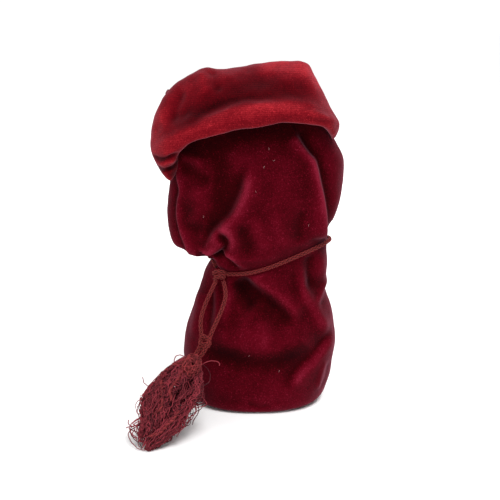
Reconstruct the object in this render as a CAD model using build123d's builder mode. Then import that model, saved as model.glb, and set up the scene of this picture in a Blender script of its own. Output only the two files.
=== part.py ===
from build123d import *
import os
from math import cos, pi, radians, sin, tan

# A round rosin cake in its velvet drawstring pouch. The pouch stands on its base, its mouth is
# folded down to the front as a flap, and a braided cord is tied round its waist. The cord's two
# tails run through a second knot into a tassel, which rests on the surface in front.
# Millimetres, +Z up, +Y to the back. The origin is at the bottom centre of the pouch's box.

# --- Driving dimensions ---
cloth = 2.0  # velvet and its pile
seam_y = 1.0  # where the front and back panels meet
waist_z = 67.0  # height of the cord's loop at mid width
waist_tilt = 14.5  # degrees, the loop is higher on the right
waist_centre = (11.0, 0.0)
waist_half = (24.4, 13.9)  # half width and half depth of the cloth under the cord

# Ovals of the pouch's outer surface: height at x = 0, tilt in degrees, centre x, centre y,
# half width, half depth. The tilt follows the cord's loop near the waist.
base_ovals = [
    (0.0, 0.0, 5.6, 2.0, 28.0, 20.0),
    (3.0, 0.0, 5.6, 2.0, 31.5, 23.5),
    (9.0, 0.0, 5.6, 2.0, 33.6, 25.4),
    (22.0, 1.0, 5.6, 2.0, 34.3, 26.0),
    (35.0, 4.0, 6.2, 2.0, 32.4, 24.0),
    (47.5, 8.0, 8.2, 1.5, 29.0, 19.4),
    (58.0, 12.0, 10.4, 0.6, 26.0, 15.4),
]
upper_ovals = [
    (69.5, 12.0, 9.6, 0.0, 27.4, 15.0),
    (78.0, 7.0, 5.2, 0.0, 34.4, 16.8),
    (90.0, 3.0, 3.6, 0.0, 38.6, 18.0),
    (102.0, 0.0, 3.4, 0.0, 39.6, 18.0),
    (112.0, 0.0, 2.4, 0.0, 38.0, 17.2),
    (122.0, 0.0, 1.4, -0.5, 35.0, 15.0),
    (132.0, 0.0, 1.4, -1.0, 31.5, 12.4),
    (141.0, 0.0, 2.4, -1.0, 27.0, 9.9),
    (148.0, 0.0, 3.0, -1.0, 22.0, 7.6),
    (152.0, 0.0, 3.0, -1.0, 17.0, 2.6),
]

# The flap turns about the crest's axis, and it starts just in front of the crest.
hinge_y = -1.0
hinge_z = 142.5
crest_radius = 10.0
hinge_clearance = 0.8
flap_root_angle = 150.0  # degrees round the hinge from +Y, where the flap's solids begin
flap_back_y = -4.0  # the flap's wings end here
# Ovals of the flap's outer surface: height at x = 0, tilt in degrees, centre x, centre y,
# half width, half depth. The hem is lower on the left.
flap_ovals = [
    (121.0, 8.0, -1.06, -4.0, 42.4, 23.6),
    (129.0, 7.0, -0.7, -4.0, 42.0, 23.3),
    (137.0, 6.0, 0.0, -4.0, 38.5, 19.4),
    (144.0, 5.0, 1.4, -3.5, 33.0, 15.6),
    (151.0, 4.0, 2.6, -3.0, 27.4, 13.6),
]
hem_depth = 8.0
layer = 1.7  # one layer of the flap
layer_gap = 0.5
hem_join_z = flap_ovals[0][0] + hem_depth
hem_join_tilt = flap_ovals[1][1]

cord_diameter = 2.0
cord_radius = cord_diameter / 2
knot_centre = (-12.0, -14.0, 61.6)
knot_radius = 3.4

# The waist loop's route, from inside the knot round the front, right side and back to the knot.
waist_route = [
    (-10.2, -14.4, 61.5),
    (-1.5, -16.9, 61.8),
    (8.0, -17.9, 64.4),
    (18.5, -17.6, 68.6),
    (28.5, -14.6, 72.4),
    (35.6, -8.6, 74.2),
    (38.7, -0.6, 74.5),
    (36.2, 7.8, 73.6),
    (29.0, 14.2, 71.8),
    (18.8, 17.6, 69.4),
    (7.8, 17.8, 66.6),
    (-2.8, 15.2, 64.2),
    (-11.6, 9.2, 62.6),
    (-16.3, 0.8, 61.8),
    (-16.0, -7.4, 61.6),
    (-13.2, -12.2, 61.6),
]
left_route = [
    (-13.6, -15.8, 58.7),
    (-16.2, -18.0, 53.6),
    (-18.9, -20.4, 47.8),
    (-20.5, -22.8, 41.8),
    (-19.6, -25.4, 36.0),
    (-20.6, -28.2, 31.2),
    (-23.6, -31.4, 28.0),
]
right_route = [
    (-10.4, -16.2, 58.7),
    (-8.9, -18.8, 54.4),
    (-10.1, -21.6, 49.2),
    (-12.8, -24.2, 43.4),
    (-15.6, -26.6, 37.8),
    (-17.3, -29.4, 32.6),
    (-20.4, -32.4, 28.6),
    (-24.0, -34.6, 26.2),
]

tail_knot_centre = (-18.2, -27.0, 34.2)
knot_half_width = 3.0
knot_half_length = 3.8
knot_end_radius = 1.6

head_top = (-23.0, -32.0, 28.8)
head_length = 9.0
head_radius = 4.4
binding_thickness = 0.9
binding_width = 3.0
skirt_tip = (-40.6, -66.0, 2.4)
# The skirt's ovals: share of its length, half width, half thickness.
skirt_ovals = [
    (0.00, 4.2, 4.0),
    (0.16, 9.0, 7.4),
    (0.42, 13.4, 9.0),
    (0.68, 13.0, 7.8),
    (0.90, 9.6, 5.4),
    (1.00, 5.0, 3.0),
]

cup_centre = (5.6, 2.0)
cup_radius = 23.2  # at the bulge
cup_foot_radius = 19.6
cup_lip = 1.6
cup_height = 21.5
cup_floor = 4.5
felt_radius = 19.0
felt_thickness = 1.2
cake_radius = 19.5
cake_height = 15.5
cake_edge_round = 2.0

thread_radius = 0.3
stitch_pitch = 4.0
stitch_length = 1.8
hem_stitches = 28
hem_first_angle = 14.0  # degrees round from the flap's end

os.makedirs("parts", exist_ok=True)


def tilted_plane(height, tilt):
    """A plane at a height over the origin, tilted about Y so that +X is higher."""
    t = radians(tilt)
    return Plane(origin=(0, 0, height), x_dir=(cos(t), 0, sin(t)), z_dir=(-sin(t), 0, cos(t)))


def oval_loft(ovals, inset, mode=Mode.ADD):
    """A loft through (height, tilt, centre x, centre y, half width, half depth), each side inset."""
    sketches = []
    for height, tilt, cx, cy, half_width, half_depth in ovals:
        with BuildSketch(tilted_plane(height, tilt), mode=Mode.PRIVATE) as oval:
            with Locations((cx, cy)):
                Ellipse(half_width - inset, half_depth - inset)
        sketches.append(oval.sketch)
    return loft(sections=sketches, mode=mode)


def save(block, name):
    block.part.label = name
    export_step(block.part, f"parts/{name}.step")


# --- The pouch's velvet shell, below and above the waist ---
waist_oval = (waist_z - tan(radians(waist_tilt)) * waist_centre[0], waist_tilt,
              waist_centre[0] / cos(radians(waist_tilt)), waist_centre[1], *waist_half)
inner_floor = (cloth, 0.0, *base_ovals[0][2:])

with BuildPart() as shell:
    oval_loft(base_ovals + [waist_oval], 0)
    oval_loft([waist_oval] + upper_ovals, 0)
    oval_loft([inner_floor] + base_ovals[1:] + [waist_oval], cloth, Mode.SUBTRACT)
    oval_loft([waist_oval] + upper_ovals[:-1], cloth, Mode.SUBTRACT)

seam_plane = Plane.XZ.offset(-seam_y)
with BuildPart() as front_panel:
    add(shell.part)
    split(bisect_by=seam_plane, keep=Keep.TOP)
save(front_panel, "front_panel")

with BuildPart() as back_panel:
    add(shell.part)
    split(bisect_by=seam_plane, keep=Keep.BOTTOM)
save(back_panel, "back_panel")


# --- The flap: two layers of velvet, each with its own turned-up hem ---
def flap_layer(outer_inset, thickness, hem):
    """One layer of the flap. With hem it is the doubled edge, without it what is above the edge."""
    reach = 120.0
    root = radians(flap_root_angle)
    root_plane = Plane(origin=(0, hinge_y, hinge_z), x_dir=(1, 0, 0),
                       z_dir=(0, sin(root), -cos(root)))
    with BuildPart() as piece:
        oval_loft(flap_ovals, outer_inset)
        lower = [(flap_ovals[0][0] - 1.0, *flap_ovals[0][1:])]
        upper = [(flap_ovals[-1][0] + 1.0, *flap_ovals[-1][1:])]
        oval_loft(lower + flap_ovals[1:-1] + upper, outer_inset + thickness, Mode.SUBTRACT)
        # Only the front stays, below the root and clear of the crest.
        split(bisect_by=Plane.XZ.offset(-flap_back_y), keep=Keep.TOP)
        split(bisect_by=root_plane, keep=Keep.BOTTOM)
        with BuildSketch(Plane.YZ.offset(-reach / 2)):
            with Locations((hinge_y, hinge_z)):
                Circle(crest_radius + hinge_clearance)
        extrude(amount=reach, mode=Mode.SUBTRACT)
        join_plane = tilted_plane(hem_join_z, hem_join_tilt)
        split(bisect_by=join_plane, keep=Keep.BOTTOM if hem else Keep.TOP)
    return piece


flap_outer_layer = flap_layer(0.0, layer, hem=False)
save(flap_outer_layer, "flap_outer_layer")
outer_hem = flap_layer(0.0, layer, hem=True)
save(outer_hem, "outer_hem")
flap_inner_layer = flap_layer(layer + layer_gap, layer, hem=False)
save(flap_inner_layer, "flap_inner_layer")
inner_hem = flap_layer(layer + layer_gap, layer, hem=True)
save(inner_hem, "inner_hem")


# --- Cords ---
def corner_radii(points):
    """The largest tangent arcs that the runs allow: 0.45 of the shorter run over tan(turn / 2)."""
    radii = []
    for before, corner, after in zip(points, points[1:], points[2:]):
        run_in = Vector(*corner) - Vector(*before)
        run_out = Vector(*after) - Vector(*corner)
        turn = radians(run_in.get_angle(run_out))
        radii.append(0.45 * min(run_in.length, run_out.length) / tan(turn / 2))
    return radii


def cord_tube(name, points):
    """A tube of straight runs joined by tangent arcs."""
    radii = corner_radii(points)
    start_direction = Vector(*points[1]) - Vector(*points[0])
    with BuildPart() as tube:
        with BuildLine() as route:
            FilletPolyline(points, radius=radii)
        with BuildSketch(Plane(origin=points[0], z_dir=start_direction)):
            Circle(cord_radius)
        sweep()
    length = route.wire().length
    expected = pi * cord_radius**2 * length
    runs = [(Vector(*b) - Vector(*a)).length for a, b in zip(points, points[1:])]
    print(name, "length", round(length, 1), "volume ratio", round(tube.part.volume / expected, 4))
    print("  radii", [round(r, 1) for r in radii])
    print("  runs", [round(r, 1) for r in runs])
    return tube


waist_cord = cord_tube("waist_cord", waist_route)
save(waist_cord, "waist_cord")
left_tail_cord = cord_tube("left_tail_cord", left_route)
save(left_tail_cord, "left_tail_cord")
right_tail_cord = cord_tube("right_tail_cord", right_route)
save(right_tail_cord, "right_tail_cord")

with BuildPart() as waist_knot:
    with Locations(knot_centre):
        Sphere(knot_radius)
save(waist_knot, "waist_knot")

# --- Tail knot, tassel head, binding and skirt, all along the tassel's line ---
axis = Vector(*skirt_tip) - Vector(*head_top)
axis_length = axis.length
axis = axis.normalized()
across = Vector(0, 0, 1).cross(axis).normalized()


def tassel_plane(distance):
    """A plane across the tassel's line, its x level with the ground."""
    origin = Vector(*head_top) + axis * distance
    return Plane(origin=origin, x_dir=across, z_dir=axis)


def lengthwise_plane(origin, direction):
    """A plane whose x runs along the direction, for profiles turned about it."""
    level = Vector(0, 0, 1).cross(direction).normalized()
    return Plane(origin=origin, x_dir=direction, z_dir=level)


knot_axis = (Vector(*left_route[5]) - Vector(*left_route[3])).normalized()
with BuildPart() as tail_knot:
    with BuildSketch(lengthwise_plane(tail_knot_centre, knot_axis)):
        with BuildLine():
            Line((-knot_half_length, 0), (-knot_half_length, knot_end_radius))
            ThreePointArc((-knot_half_length, knot_end_radius), (0, knot_half_width),
                          (knot_half_length, knot_end_radius))
            Line((knot_half_length, knot_end_radius), (knot_half_length, 0))
            Line((knot_half_length, 0), (-knot_half_length, 0))
        make_face()
    revolve(axis=Axis(tail_knot_centre, knot_axis))
save(tail_knot, "tail_knot")

with BuildPart() as tassel_head:
    with BuildSketch(lengthwise_plane(head_top, axis)):
        with BuildLine():
            Line((0, 0), (0, head_radius * 0.55))
            ThreePointArc((0, head_radius * 0.55), (head_length * 0.45, head_radius),
                          (head_length, head_radius * 0.7))
            Line((head_length, head_radius * 0.7), (head_length, 0))
            Line((head_length, 0), (0, 0))
        make_face()
    revolve(axis=Axis(head_top, axis))
save(tassel_head, "tassel_head")

with BuildPart() as head_binding:
    with BuildSketch(tassel_plane(head_length)):
        Circle(head_radius + binding_thickness)
    extrude(amount=-binding_width)
    with BuildSketch(tassel_plane(head_length)):
        Circle(head_radius)
    extrude(amount=-binding_width, mode=Mode.SUBTRACT)
save(head_binding, "head_binding")

skirt_start = head_length
skirt_length = axis_length - head_length
with BuildPart() as tassel_skirt:
    for share, half_width, half_thick in skirt_ovals:
        with BuildSketch(tassel_plane(skirt_start + share * skirt_length)):
            Ellipse(half_width, half_thick)
    loft()
    floor_depth = 40.0
    floor_size = 200.0
    with Locations((skirt_tip[0], skirt_tip[1], -floor_depth / 2)):
        Box(floor_size, floor_size, floor_depth, mode=Mode.SUBTRACT)
save(tassel_skirt, "tassel_skirt")

# --- The rosin cake in its turned cup, on the pouch's base ---
felt_bottom = cloth + 0.2
cup_bottom = felt_bottom + felt_thickness
cake_bottom = cup_bottom + cup_floor
cup_top = cup_bottom + cup_height
cup_axis = Axis((*cup_centre, 0), (0, 0, 1))
cup_plane = Plane(origin=(*cup_centre, 0), x_dir=(1, 0, 0), z_dir=(0, -1, 0))

with BuildPart() as cup_felt:
    with BuildSketch(Plane.XY.offset(felt_bottom)):
        with Locations(cup_centre):
            Circle(felt_radius)
    extrude(amount=felt_thickness)
save(cup_felt, "cup_felt")

with BuildPart() as cake_cup:
    with BuildSketch(cup_plane):
        with BuildLine():
            Line((0, cup_bottom), (cup_foot_radius, cup_bottom))
            ThreePointArc((cup_foot_radius, cup_bottom),
                          (cup_radius, cup_bottom + cup_height * 0.45),
                          (cake_radius + cup_lip, cup_top))
            Line((cake_radius + cup_lip, cup_top), (cake_radius, cup_top))
            Line((cake_radius, cup_top), (cake_radius, cake_bottom))
            Line((cake_radius, cake_bottom), (0, cake_bottom))
            Line((0, cake_bottom), (0, cup_bottom))
        make_face()
    revolve(axis=cup_axis)
save(cake_cup, "cake_cup")

with BuildPart() as rosin_cake:
    with BuildSketch(Plane.XY.offset(cake_bottom)):
        with Locations(cup_centre):
            Circle(cake_radius)
    extrude(amount=cake_height)
    fillet(rosin_cake.edges().group_by(Axis.Z)[-1], radius=cake_edge_round)
save(rosin_cake, "rosin_cake")


# --- Sewing thread: separate stitches inside the cloth ---
def stitch_row(name, points):
    """A short stitch at each point, towards the next one."""
    with BuildPart() as row:
        for here, following in zip(points, points[1:]):
            with BuildSketch(Plane(origin=here, z_dir=Vector(*following) - Vector(*here))):
                Circle(thread_radius)
            extrude(amount=stitch_length)
    save(row, name)
    return row


def seam_points(side):
    """Points up one side of the pouch, inside the cloth, a stitch's pitch apart in height."""
    points = []
    stack = base_ovals[1:] + [waist_oval] + upper_ovals
    edge = []
    for height, tilt, cx, _, half_width, _ in stack:
        along = cx + side * (half_width - cloth / 2)
        edge.append((along * cos(radians(tilt)), height + along * sin(radians(tilt))))
    for (x0, z0), (x1, z1) in zip(edge, edge[1:]):
        count = max(1, round((z1 - z0) / stitch_pitch))
        for step in range(count):
            share = step / count
            points.append((x0 + share * (x1 - x0), seam_y, z0 + share * (z1 - z0)))
    return points


stitch_row("left_seam_thread", seam_points(-1))
stitch_row("right_seam_thread", seam_points(1))

# The hem's row runs round the flap's front, in the middle of the outer layer.
_, _, hem_cx, hem_cy, hem_half_width, hem_half_depth = flap_ovals[1]
hem_points = []
for step in range(hem_stitches):
    turn = radians(hem_first_angle + (180 - 2 * hem_first_angle) * step / (hem_stitches - 1))
    local_x = hem_cx - (hem_half_width - layer / 2) * cos(turn)
    hem_tilt = radians(hem_join_tilt)
    hem_points.append((local_x * cos(hem_tilt), hem_cy - (hem_half_depth - layer / 2) * sin(turn),
                       hem_join_z - 0.5 + local_x * sin(hem_tilt)))
stitch_row("hem_thread", hem_points)
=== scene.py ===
import math

import bpy
import numpy as np
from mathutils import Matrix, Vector, noise


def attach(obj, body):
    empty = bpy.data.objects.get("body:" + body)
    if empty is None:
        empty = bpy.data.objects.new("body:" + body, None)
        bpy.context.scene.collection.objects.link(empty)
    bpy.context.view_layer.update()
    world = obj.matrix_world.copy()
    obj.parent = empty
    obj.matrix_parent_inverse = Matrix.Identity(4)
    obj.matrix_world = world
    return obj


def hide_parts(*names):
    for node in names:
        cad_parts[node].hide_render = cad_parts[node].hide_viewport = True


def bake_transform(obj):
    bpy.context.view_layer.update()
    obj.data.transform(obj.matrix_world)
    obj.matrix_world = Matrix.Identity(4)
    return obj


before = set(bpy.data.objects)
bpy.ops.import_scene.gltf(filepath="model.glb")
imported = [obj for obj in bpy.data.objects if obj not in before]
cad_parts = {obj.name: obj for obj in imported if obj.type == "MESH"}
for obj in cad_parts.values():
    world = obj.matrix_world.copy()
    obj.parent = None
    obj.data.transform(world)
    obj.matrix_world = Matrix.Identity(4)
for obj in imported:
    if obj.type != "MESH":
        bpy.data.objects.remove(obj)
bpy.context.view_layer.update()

MM = 0.001
rng = np.random.default_rng(11)


def add_object(name, data):
    holder = bpy.data.objects.new(name, data)
    bpy.context.scene.collection.objects.link(holder)
    return holder


def turned_to(direction):
    """The rotation with which a camera or a lamp points this way."""
    return direction.to_track_quat("-Z", "Y").to_euler()


# ---- camera

target = Vector((1.35, 0.0, 69.0)) * MM
camera_distance = 0.560
elevation = math.radians(13)
camera_data = bpy.data.cameras.new("camera")
camera_data.sensor_width = 36
camera_data.lens = 89.6
camera = add_object("camera", camera_data)
camera.location = target + camera_distance * Vector((0, -math.cos(elevation), math.sin(elevation)))
camera.rotation_euler = turned_to(target - camera.location)
bpy.context.scene.camera = camera


# ---- cords' centrelines

BRAID_RADIUS = 0.82
BRAID_PITCH = 8.0
STRAND_SIDES = 5
LINE_STEP = 0.2
WAIST_ROUTE = [
    (-10.2, -14.4, 61.5), (-1.5, -16.9, 61.8), (8, -17.9, 64.4), (18.5, -17.6, 68.6), (28.5, -14.6, 72.4),
    (35, -8.6, 74.2), (37.7, -0.6, 74.5), (35.6, 7.8, 73.6), (29, 14.2, 71.8), (18.8, 17.6, 70),
    (7.8, 17.8, 68.6), (-2.8, 15.4, 67.6), (-11.2, 10.2, 67.4), (-15.8, 1.8, 68), (-15.9, -6.4, 67.6),
    (-13.6, -12.6, 64.2),
]
LEFT_ROUTE = [
    (-13.6, -15.8, 58.7), (-16.2, -18, 53.6), (-18.9, -20.4, 47.8), (-20.5, -22.8, 41.8), (-19.6, -25.4, 36),
    (-20.6, -28.2, 31.2), (-23.6, -31.4, 28),
]
RIGHT_ROUTE = [
    (-10.4, -16.2, 58.7), (-8.9, -18.8, 54.4), (-10.1, -21.6, 49.2), (-12.8, -24.2, 43.4),
    (-15.6, -26.6, 37.8), (-17.3, -29.4, 32.6), (-20.4, -32.4, 28.6), (-24, -34.6, 26.2),
]


def centreline(points):
    """Evenly spaced points, in millimetres, along the NURBS spline with these control points."""
    data = bpy.data.curves.new("centreline", "CURVE")
    data.dimensions = "3D"
    data.resolution_u = 24
    spline = data.splines.new("NURBS")
    spline.points.add(len(points) - 1)
    for point, place in zip(spline.points, points):
        point.co = (*(c * MM for c in place), 1)
    spline.order_u = 3
    spline.use_endpoint_u = True
    holder = add_object("centreline", data)
    mesh = bpy.data.meshes.new_from_object(holder)
    line = np.array([v.co for v in mesh.vertices], float) / MM
    bpy.data.objects.remove(holder)
    bpy.data.meshes.remove(mesh)
    bpy.data.curves.remove(data)
    return even(line, LINE_STEP)


def distances(line):
    """How far along a polyline each of its points is."""
    return np.concatenate([[0], np.cumsum(np.linalg.norm(np.diff(line, axis=0), axis=1))])


def even(line, step):
    """The same line with points at about this spacing."""
    along = distances(line)
    keep = np.concatenate([[True], np.diff(along) > 1e-9])
    at = np.linspace(0, along[-1], max(2, int(round(along[-1] / step)) + 1))
    return np.stack([np.interp(at, along[keep], line[keep, k]) for k in range(3)], axis=1)


waist_line = centreline(WAIST_ROUTE)
left_line = centreline(LEFT_ROUTE)
right_line = centreline(RIGHT_ROUTE)


# ---- shape tools

def smooth_step(value, low, high):
    t = np.clip((np.asarray(value, float) - low) / (high - low), 0, 1)
    return t * t * (3 - 2 * t)


def through(keys, values, at):
    """A smooth curve through values at keys, read at other places."""
    keys, values, at = np.asarray(keys, float), np.asarray(values, float), np.asarray(at, float)
    slope = np.gradient(values, keys, axis=0)
    i = np.clip(np.searchsorted(keys, at, side="right") - 1, 0, len(keys) - 2)
    shape = (-1,) + (1,) * (values.ndim - 1)
    h = (keys[i + 1] - keys[i]).reshape(shape)
    u = ((at - keys[i]) / (keys[i + 1] - keys[i])).reshape(shape)
    return (
        (1 + 2 * u) * (1 - u) ** 2 * values[i] + u * (1 - u) ** 2 * h * slope[i]
        + u * u * (3 - 2 * u) * values[i + 1] + u * u * (u - 1) * h * slope[i + 1]
    )


def unit(v):
    return v / np.maximum(np.linalg.norm(v, axis=-1, keepdims=True), 1e-9)


def blur(grid, times, wrap):
    """A grid's values averaged with their neighbours, round the second axis if it closes."""
    for _ in range(times):
        up = np.concatenate([grid[:1], grid[:-1]])
        down = np.concatenate([grid[1:], grid[-1:]])
        grid = (grid * 2 + up + down) / 4
        if wrap:
            side = np.roll(grid, 1, axis=1) + np.roll(grid, -1, axis=1)
        else:
            side = (np.concatenate([grid[:, :1], grid[:, :-1]], axis=1)
                    + np.concatenate([grid[:, 1:], grid[:, -1:]], axis=1))
        grid = (grid * 2 + side) / 4
    return grid


def grid_normals(grid, wrap):
    """Unit normals of a grid of points, outward for rings that climb and turn from right to front to left."""
    along = np.gradient(grid, axis=0)
    if wrap:
        across = np.roll(grid, -1, axis=1) - np.roll(grid, 1, axis=1)
    else:
        across = np.gradient(grid, axis=1)
    return unit(np.cross(along, across))


def to_line(points, line):
    """Distance from each (x, z) to a polyline, the same but negative on its right, and the share along it."""
    line = np.asarray(line, float)
    seg = np.diff(line, axis=0)
    size = np.linalg.norm(seg, axis=1)
    start = distances(line)
    best = np.full(len(points), 1e9)
    side = np.zeros(len(points))
    share = np.zeros(len(points))
    for k in range(len(seg)):
        rel = points - line[k]
        t = np.clip(rel @ seg[k] / size[k] ** 2, 0, 1)
        off = rel - t[:, None] * seg[k]
        dist = np.linalg.norm(off, axis=1)
        near = dist < best
        best = np.where(near, dist, best)
        side = np.where(near, np.sign(seg[k, 0] * rel[:, 1] - seg[k, 1] * rel[:, 0]), side)
        share = np.where(near, (start[k] + t * size[k]) / start[-1], share)
    return best, best * side, share


def rounded(line, step=1.0):
    """A polyline's corners rounded into a smooth curve."""
    line = np.asarray(line, float)
    keys = distances(line)
    return through(keys, line, np.linspace(0, keys[-1], max(3, int(keys[-1] / step))))


def resampled(line, count):
    """This many points, evenly spread over the polyline's own points."""
    line = np.asarray(line, float)
    at = np.linspace(0, 1, count)
    return np.stack([np.interp(at, np.linspace(0, 1, len(line)), side) for side in line.T], axis=1)


def tapered(share, fade):
    """1 along a line, and less near its two ends."""
    return smooth_step(share, -0.02, fade) * smooth_step(1 - share, -0.02, fade)


def ridge(flat, line, height, width, fade=0.25):
    """A rounded fold along a line: a valley if its height is negative."""
    dist, _, share = to_line(flat, rounded(line))
    return height * np.exp(-(dist / width) ** 2) * tapered(share, fade)


def lip(flat, line, height, edge, reach, fade=0.15):
    """One layer lapping over another: the cloth stands up on the line's left and falls off to its right."""
    dist, signed, share = to_line(flat, rounded(line))
    rise = 1 / (1 + np.exp(-signed / edge * 2.2))
    near = np.exp(-(dist / reach) ** 2)
    return height * (rise * near - (1 - rise) * near) * tapered(share, fade)


def folds(flat, table):
    """The sum of the ridges and lips in a table: shape, line, and that shape's values."""
    return sum(shape(flat, line, *values) for shape, line, *values in table)


def mesh_object(name, points, faces):
    data = bpy.data.meshes.new(name)
    vertices = [tuple(p) for p in np.asarray(points, float) * MM]
    data.from_pydata(vertices, [], [tuple(int(i) for i in f) for f in faces])
    data.validate()
    data.update()
    data.polygons.foreach_set("use_smooth", [True] * len(data.polygons))
    return add_object(name, data)


def grid_faces(rows, columns, wrap):
    r = np.arange(rows - 1)[:, None]
    c = np.arange(columns if wrap else columns - 1)[None, :]
    n = (c + 1) % columns
    a, b, d, e = r * columns + c, r * columns + n, (r + 1) * columns + n, (r + 1) * columns + c
    return np.stack([a, e, d, b], axis=-1).reshape(-1, 4)


def paint(holder, name, values):
    layer = holder.data.attributes.new(name, "FLOAT", "POINT")
    layer.data.foreach_set("value", np.asarray(values, np.float32).ravel())


def wall(holder, thickness):
    solid = holder.modifiers.new("cloth", "SOLIDIFY")
    solid.thickness = thickness * MM
    solid.offset = -1
    solid.use_even_offset = False
    return holder


def tubes(name, paths, radius, sides):
    """Round threads along many paths of the same number of points: paths is (threads, points, 3)."""
    paths = np.asarray(paths, float)
    m, n, _ = paths.shape
    tangent = unit(np.gradient(paths, axis=1))
    normal = np.zeros_like(paths)
    helper = np.where(np.abs(tangent[:, 0, 2:3]) < 0.9, [[0.0, 0.0, 1.0]], [[1.0, 0.0, 0.0]])
    normal[:, 0] = unit(np.cross(tangent[:, 0], helper))
    for k in range(1, n):
        v = normal[:, k - 1] - (normal[:, k - 1] * tangent[:, k]).sum(-1, keepdims=True) * tangent[:, k]
        normal[:, k] = unit(v)
    other = np.cross(tangent, normal)
    turn = np.arange(sides) * 2 * math.pi / sides
    ring = normal[:, :, None] * np.cos(turn)[:, None] + other[:, :, None] * np.sin(turn)[:, None]
    points = (paths[:, :, None] + ring * radius).reshape(-1, 3)
    one = grid_faces(n, sides, True)
    faces = (one[None] + (np.arange(m) * n * sides)[:, None, None]).reshape(-1, 4).tolist()
    for t in range(m):
        base = t * n * sides
        faces.append([base + k for k in range(sides)])
        faces.append([base + (n - 1) * sides + k for k in reversed(range(sides))])
    return mesh_object(name, points, faces)


def frames(line):
    """Two directions square to a line at each of its points."""
    tangent = unit(np.gradient(line, axis=0))
    normal = np.zeros_like(line)
    start = np.array([0.0, 0.0, 1.0]) if abs(tangent[0, 2]) < 0.9 else np.array([1.0, 0.0, 0.0])
    normal[0] = unit(np.cross(tangent[0], start))
    for k in range(1, len(line)):
        normal[k] = unit(normal[k - 1] - (normal[k - 1] @ tangent[k]) * tangent[k])
    return normal, np.cross(tangent, normal)


def braid(name, line):
    """A braided cord: four strands that wind one way pass over and under four that wind the other way."""
    line = even(line, LINE_STEP)
    normal, other = frames(line)
    wind = np.arange(len(line)) * LINE_STEP * 2 * math.pi / BRAID_PITCH
    strands, strand_shade = [], []
    for way in (1, -1):
        for k in range(4):
            angle = way * wind + k * math.pi / 2
            over = way * np.cos(4 * wind)
            out = BRAID_RADIUS * (0.66 + 0.26 * over)
            around = normal * np.cos(angle)[:, None] + other * np.sin(angle)[:, None]
            strands.append(line + out[:, None] * around)
            # painted shade on a strand where it passes under the others, painted highlight where it passes
            # over
            strand_shade.append(np.repeat(0.4 + 0.6 * over, STRAND_SIDES))
    holder = tubes(name, strands, BRAID_RADIUS * 0.29, STRAND_SIDES)
    paint(holder, "tone", np.concatenate(strand_shade))
    return holder


# ---- velvet of the pouch

WAIST_CENTRE = np.array([11.0, 0.0, 67.0])
GRID_SPACING = 0.72
RING_COLUMNS = 280
LEFT_COLUMN = RING_COLUMNS // 2
VELVET_WALL = 1.6
FLAP_WALL = 1.7

# Each ring: left x, right x, middle y, depth to the front and to the back, then the height at the left, the
# front, the right and the back.
WAIST_RING = (-14.6, 37.2, 0, 14.6, 15, 67.8, 63.4, 74.2, 70.2)
LOWER_RINGS = [
    (5, 6.2, 2, 0.5, 0.5, 0.8, 0.8, 0.8, 0.8),
    (-10, 21, 2, 11, 11, 0.7, 0.7, 0.7, 0.7),
    (-21, 29.6, 2, 24, 19.4, 0, 0, 0, 0),
    (-25, 34, 2, 27, 22.8, 2, 1.6, 2.2, 2),
    (-27.4, 37, 2, 27.8, 24.8, 7, 6.5, 8.5, 7.5),
    (-28.8, 39.2, 2, 27.4, 25.6, 17.5, 17, 20, 18.5),
    (-28.4, 40.1, 2, 26, 24.8, 27, 26.5, 31, 28.5),
    (-26.8, 38.8, 2, 24, 23, 35.5, 36, 40, 38),
    (-23.8, 36.4, 1.6, 20.6, 20.4, 43.5, 46, 48.5, 46.5),
    (-20.6, 34.9, 1, 17.4, 17.6, 54, 54.5, 55, 55.5),
    (-18, 36.8, 0.4, 15.6, 15.8, 62, 59.5, 65, 63.5),
    WAIST_RING,
]
UPPER_RINGS = [
    WAIST_RING,
    (-19.5, 37.6, -0.6, 17.6, 16, 70.2, 68.6, 79, 75),
    (-28.4, 39.8, -1, 19.2, 17.2, 70.4, 73.5, 84.5, 80.5),
    (-33.2, 41.6, -1.2, 19.8, 18.2, 73.4, 80.5, 91.5, 87),
    (-35.2, 42.6, -1, 19.6, 18.4, 82, 89, 98.5, 94),
    (-35.4, 43.1, -0.6, 18.8, 18.2, 92, 98, 104.8, 101.5),
    (-34.4, 42.6, -0.4, 17.6, 17.6, 101.5, 106.5, 111, 108.5),
    (-33.8, 39.4, -0.4, 15.8, 16.4, 111, 115.5, 117.5, 117),
    (-33, 34.6, -0.6, 13.4, 14.8, 121.5, 125, 125.5, 126),
    (-30.6, 30.4, -0.8, 10.4, 12.6, 131.5, 134.5, 135.5, 135),
    (-25.4, 26.6, -0.8, 7.4, 9.6, 140, 142, 144, 143),
    (-17.6, 22.6, -0.8, 4, 5.6, 145.6, 147, 148.6, 147.6),
    (-8.6, 14.6, -0.8, 0.4, 0.4, 147.6, 148.4, 149.6, 148.6),
]


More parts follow.
